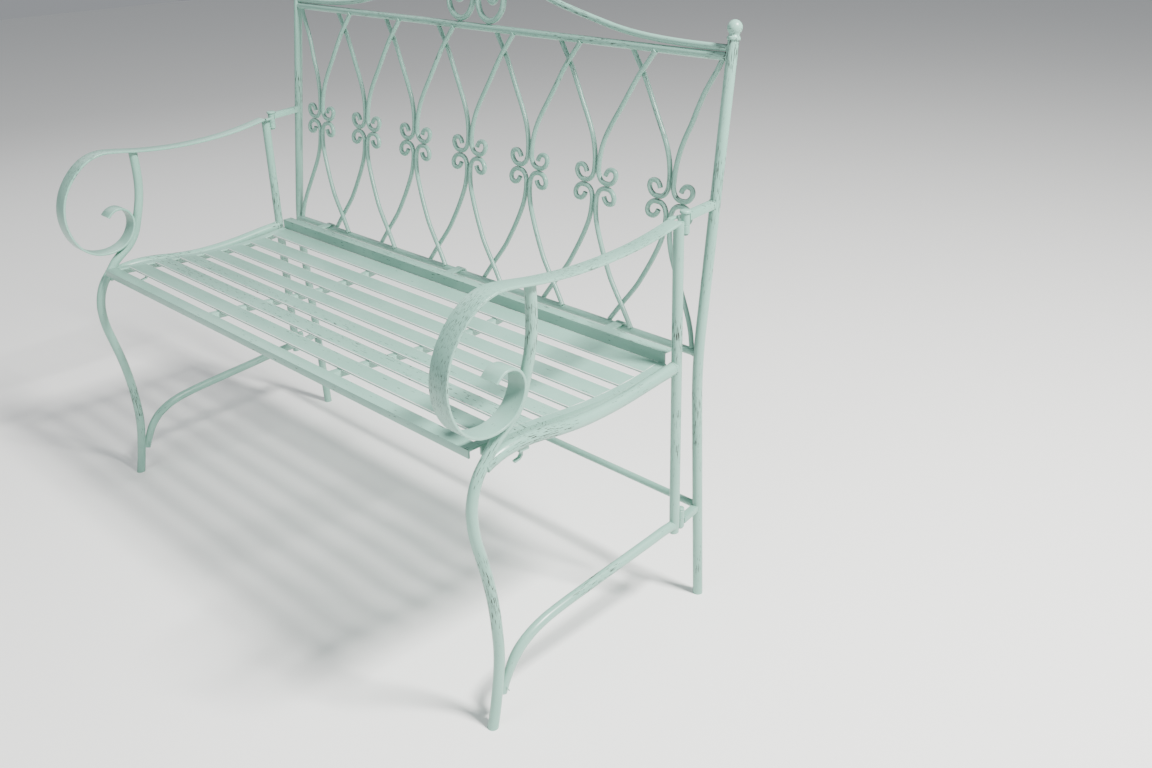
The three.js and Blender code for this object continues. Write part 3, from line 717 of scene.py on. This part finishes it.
# %% Slat tree
def make_slat_tree():
    tree, given, out = tree_with("slats_on_points", [("Length", "NodeSocketFloat"), ("Width", "NodeSocketFloat"),
                                                     ("Thickness", "NodeSocketFloat"),
                                                     ("Paint", "NodeSocketMaterial")])
    new, link = tree.nodes.new, tree.links.new
    size = new("ShaderNodeCombineXYZ")
    for axis, label in zip("XYZ", ("Length", "Width", "Thickness")):
        link(given.outputs[label], size.inputs[axis])
    slat = new("GeometryNodeMeshCube")
    link(size.outputs[0], slat.inputs["Size"])
    tilt = new("GeometryNodeInputNamedAttribute")
    tilt.data_type = "FLOAT"
    tilt.inputs["Name"].default_value = "tilt"
    spin = new("ShaderNodeCombineXYZ")
    link(tilt.outputs["Attribute"], spin.inputs["X"])
    put = new("GeometryNodeInstanceOnPoints")
    points = new("GeometryNodeMeshToPoints")
    link(given.outputs["Geometry"], points.inputs["Mesh"])
    link(points.outputs["Points"], put.inputs["Points"])
    link(slat.outputs["Mesh"], put.inputs["Instance"])
    link(spin.outputs[0], put.inputs["Rotation"])
    real, coat = new("GeometryNodeRealizeInstances"), new("GeometryNodeSetMaterial")
    link(put.outputs["Instances"], real.inputs["Geometry"])
    link(real.outputs["Geometry"], coat.inputs["Geometry"])
    link(given.outputs["Paint"], coat.inputs["Material"])
    link(coat.outputs["Geometry"], out.inputs["Geometry"])
    return tree


SLAT_TREE = make_slat_tree()
print("tree", SLAT_TREE.name)

# %% Slats
SLAT_END_GAP = 13.5
rows, tilts = [], []
for i in range(SLATS):
    y = SLAT_Y0 - i * SLAT_PITCH
    z0, z1 = seat_z(y + SLAT_W / 2), seat_z(y - SLAT_W / 2)
    rows.append(P(0, y, (z0 + z1) / 2 - SLAT_T / 2))
    tilts.append(math.atan2(z0 - z1, SLAT_W))
holder = new_object("seat_slats", rows)
holder.data.attributes.new("tilt", "FLOAT", "POINT").data.foreach_set("value", tilts)
slats = plain(holder, SLAT_TREE, Length=2 * (SEAT_HALF - SLAT_END_GAP) / 1000, Width=SLAT_W / 1000,
              Thickness=SLAT_T / 1000, Paint=FLAT_PAINT)


def eased(obj, width=0.0007):
    """Rounds every sharp edge a little, so that it catches light as a painted edge does."""
    shell = bmesh.new()
    shell.from_mesh(obj.data)
    bmesh.ops.remove_doubles(shell, verts=shell.verts, dist=1e-6)
    sharp = [e for e in shell.edges if len(e.link_faces) == 2 and e.calc_face_angle() > 0.6]
    bmesh.ops.bevel(shell, geom=sharp, offset=width, segments=2, profile=0.6, affect="EDGES", clamp_overlap=True)
    bmesh.ops.recalc_face_normals(shell, faces=shell.faces)
    shell.to_mesh(obj.data)
    shell.free()
    obj.data.shade_smooth()
    obj.data.set_sharp_from_angle(angle=math.radians(35))
    return obj


settle(eased(slats), "seat", *[f"seat_slat_{i + 1}" for i in range(SLATS)], slot="seat_paint")
print("slats:", SLATS, "triangles", len(slats.data.polygons))


# %% Seat rails and supports
def angle_bar(name, outline, x0, x1):
    """An outline of (y, z) pairs carried across from x0 to x1."""
    count = len(outline)
    verts = [P(x, y, z) for x in (x0, x1) for y, z in outline]
    faces = [(j, (j + 1) % count, count + (j + 1) % count, count + j) for j in range(count)]
    faces += [tuple(range(count))[::-1], tuple(range(count, 2 * count))]
    obj = new_object(name, verts, (), faces)
    obj.data.materials.append(FLAT_PAINT)
    return eased(obj)


def top_line(y0, y1, steps, drop):
    """Points along the seat's top line, drop millimetres below it."""
    return [(y, seat_z(y) - drop) for y in (y0 + (y1 - y0) * i / steps for i in range(steps + 1))]


SUPPORT_X = 181
BACK_ANGLE = [(-33, 448.6), (-33, 445.6), (-49, 445.6), (-49, 427), (-52, 427), (-52, 448.6)]
FRONT_ANGLE = [(-413, 435.5), (-413, 432.5), (-431.5, 432.5), (-431.5, 423), (-434.5, 423), (-434.5, 435.5)]
settle(angle_bar("seat_back_angle", BACK_ANGLE, 4 - SEAT_HALF, SEAT_HALF - 4), "seat", "seat_back_rail",
       slot="seat_paint")
settle(angle_bar("seat_front_angle", FRONT_ANGLE, -SEAT_HALF, SEAT_HALF), "seat", "seat_front_rail",
       slot="seat_paint")
for side, s in SIDES:
    flat = [P(0, y, z) for y, z in top_line(-52.2, -412.8, 40, 0)]
    section = [(s * (SEAT_HALF - a), b) for a, b in ((0, 0), (0, 15), (3, 15), (3, 3), (14, 3), (14, 0))]
    rail = swept_bar(f"seat_side_angle_{side}", flat, lambda f: section, Vector((1, 0, 0)),
                     lambda t: Vector((0, 0, -1)), FLAT_PAINT)
    settle(rail, "seat", f"seat_side_rail_{side}", slot="seat_paint")
    outline = top_line(-52.4, -431, 40, SLAT_T + 0.3) + top_line(-431, -52.4, 40, SLAT_T + 11)
    outline = [(y, min(z, 431.4) if y < -412 else z) for y, z in outline]
    support = angle_bar(f"seat_support_bar_{side}", outline, s * SUPPORT_X - 6, s * SUPPORT_X + 6)
    settle(support, "seat", f"seat_support_{side}", slot="seat_paint")
print("seat frame done")

# %% [markdown]
# ## Hinge arms
# Square bar welded to each post carries the fixed half of a hinge. The bar is cut off where it
# meets the post, and its edges are eased like those of the seat.

# %% Hinge arms
HINGE_ARMS = (("upper", 645.4, 662, 29.95, [(-31, 661.8), (-26.6, 661.8), (-26.2, 663.2), (25.5, 667.1),
                                            (25.5, 656.1), (-29, 651.6), (-31, 651.6)]),
              ("lower", 150.5, 165.8, 6.7, [(-31, 165.6), (-28.4, 165.6), (-28, 166.6), (2.2, 173.6),
                                            (2.2, 163.2), (-30, 156), (-31, 156)]))
for side, s in SIDES:
    x = s * POST_X
    for label, z0, z1, post, outline in HINGE_ARMS:
        arm = angle_bar(f"{label}_arm_{side}", outline, x - 6, x + 6)
        settle(join(arm, knuckle("stub", x, z0, z1)), "back_frame", f"{label}_hinge_arm_{side}")
        for dx in (-6, -3, 0, 3, 6):
            for height in (outline[3][1] - 0.4, outline[4][1]):
                welds["back_frame"].append((P(x + dx, post - math.sqrt(TUBE_D**2 / 4 - dx * dx), height), 1.9))
print("hinge arms:", 2 * len(HINGE_ARMS))

# %% [markdown]
# ## Weld beads
# The joints are small lumpy welds under the paint. A Geometry Nodes tree puts a little rough ball
# on each point of a list. The `bead` value sets its size and a seeded random value varies it.


# %% Weld places
def ring_of(body, centre, axis, radius, count, size):
    """Beads in a circle round a joint."""
    axis = Vector(axis).normalized()
    side = axis.orthogonal().normalized()
    for k in range(count):
        spin = Matrix.Rotation(2 * math.pi * k / count, 3, axis)
        welds[body].append((Vector(centre) + spin @ side * radius / 1000, size))


for side, s in SIDES:
    x, body = s * POST_X, f"{side}_side"
    ring_of(body, P(x, UP_Y - 8.6, 430.6), (0, -1, 0), 9.3, 20, 2.8)
    ring_of(body, P(x, UP_Y - 8.4, 160.5), (0, -1, 0), 6.6, 14, 2.4)
    for a in (math.pi * (k / 11 - 0.5) for k in range(12)):
        welds[body].append((P(x + 8.2 * math.sin(a), -409.6 - 6 * math.cos(a), 425.5 - 6 * math.cos(a)), 3.0))
        welds[body].append((P(x + 7.2 * math.sin(a), -411 - 2 * math.cos(a), 53 + 5 * math.cos(a)), 2.2))
    for a in (2 * math.pi * k / 10 for k in range(10)):
        welds[body].append((P(x + 8 * math.cos(a), -333 + 8 * math.sin(a), 637.6), 2.2))
    for t, r in ((TOP_T, 5.8), (0, 5.8)):
        ring_of("back_frame", back(x - s * 8.4, t), (1, 0, 0), r, 14, 2.2)
    ring_of("back_frame", P(x - s * 8.4, post_y(LOW_RAIL_Z), LOW_RAIL_Z), (1, 0, 0), 5.8, 14, 2.2)
    ring_of("back_frame", back(x - s * 8.4, TOP_T + CREST_GAP), (1, 0, 0), 4.8, 12, 2.0)
    welds["back_frame"] += [(back(s * q, TOP_T + 6.4, -1.6), 3.2) for q in (33, 37, 41)]
welds["back_frame"] += [(back(0, TOP_T + height, -2.6), 3.4) for height in (90, 60)]
for i in range(SLATS):
    y = SLAT_Y0 - i * SLAT_PITCH
    for s in (-1, 1):
        for dy in (-12, 12):
            welds["seat"].append((P(s * 516.3, y + dy, seat_z(y + dy) - 1.4), 1.6))
print("weld places:", sum(len(spots) for spots in welds.values()))


# %% Weld tree
def make_bead_tree():
    tree, given, out = tree_with("weld_beads", [("Seed", "NodeSocketInt"), ("Paint", "NodeSocketMaterial")])
    new, link = tree.nodes.new, tree.links.new
    ball = new("GeometryNodeMeshIcoSphere")
    ball.inputs["Radius"].default_value, ball.inputs["Subdivisions"].default_value = 0.5, 2
    bead = new("GeometryNodeInputNamedAttribute")
    bead.data_type = "FLOAT"
    bead.inputs["Name"].default_value = "bead"
    vary, spin, size = new("FunctionNodeRandomValue"), new("FunctionNodeRandomValue"), new("ShaderNodeMath")
    vary.inputs[2].default_value, vary.inputs[3].default_value = 0.75, 1.25
    spin.data_type = "FLOAT_VECTOR"
    spin.inputs[1].default_value = (6.28, 6.28, 6.28)
    size.operation = "MULTIPLY"
    for node in (vary, spin):
        link(given.outputs["Seed"], node.inputs["Seed"])
    link(bead.outputs["Attribute"], size.inputs[0])
    link(vary.outputs[1], size.inputs[1])
    points, put = new("GeometryNodeMeshToPoints"), new("GeometryNodeInstanceOnPoints")
    link(given.outputs["Geometry"], points.inputs["Mesh"])
    link(points.outputs["Points"], put.inputs["Points"])
    link(ball.outputs["Mesh"], put.inputs["Instance"])
    link(spin.outputs[0], put.inputs["Rotation"])
    link(size.outputs[0], put.inputs["Scale"])
    real, smooth, coat = (new("GeometryNodeRealizeInstances"), new("GeometryNodeSetShadeSmooth"),
                          new("GeometryNodeSetMaterial"))
    link(put.outputs["Instances"], real.inputs["Geometry"])
    link(real.outputs["Geometry"], smooth.inputs["Geometry"])
    link(smooth.outputs["Geometry"], coat.inputs["Geometry"])
    link(given.outputs["Paint"], coat.inputs["Material"])
    link(coat.outputs["Geometry"], out.inputs["Geometry"])
    return tree


BEAD_TREE = make_bead_tree()
print("tree", BEAD_TREE.name)

# %% Weld beads
for seed, (body, spots) in enumerate(welds.items()):
    holder = new_object(f"weld_beads_{body}", [p for p, _ in spots])
    holder.data.attributes.new("bead", "FLOAT", "POINT").data.foreach_set("value", [d / 1000 for _, d in spots])
    beads = plain(holder, BEAD_TREE, Seed=seed + 3, Paint=WELD_PAINT)
    settle(beads, body, slot="seat_paint" if body == "seat" else "frame_paint")
    print(body, "weld beads:", len(spots))
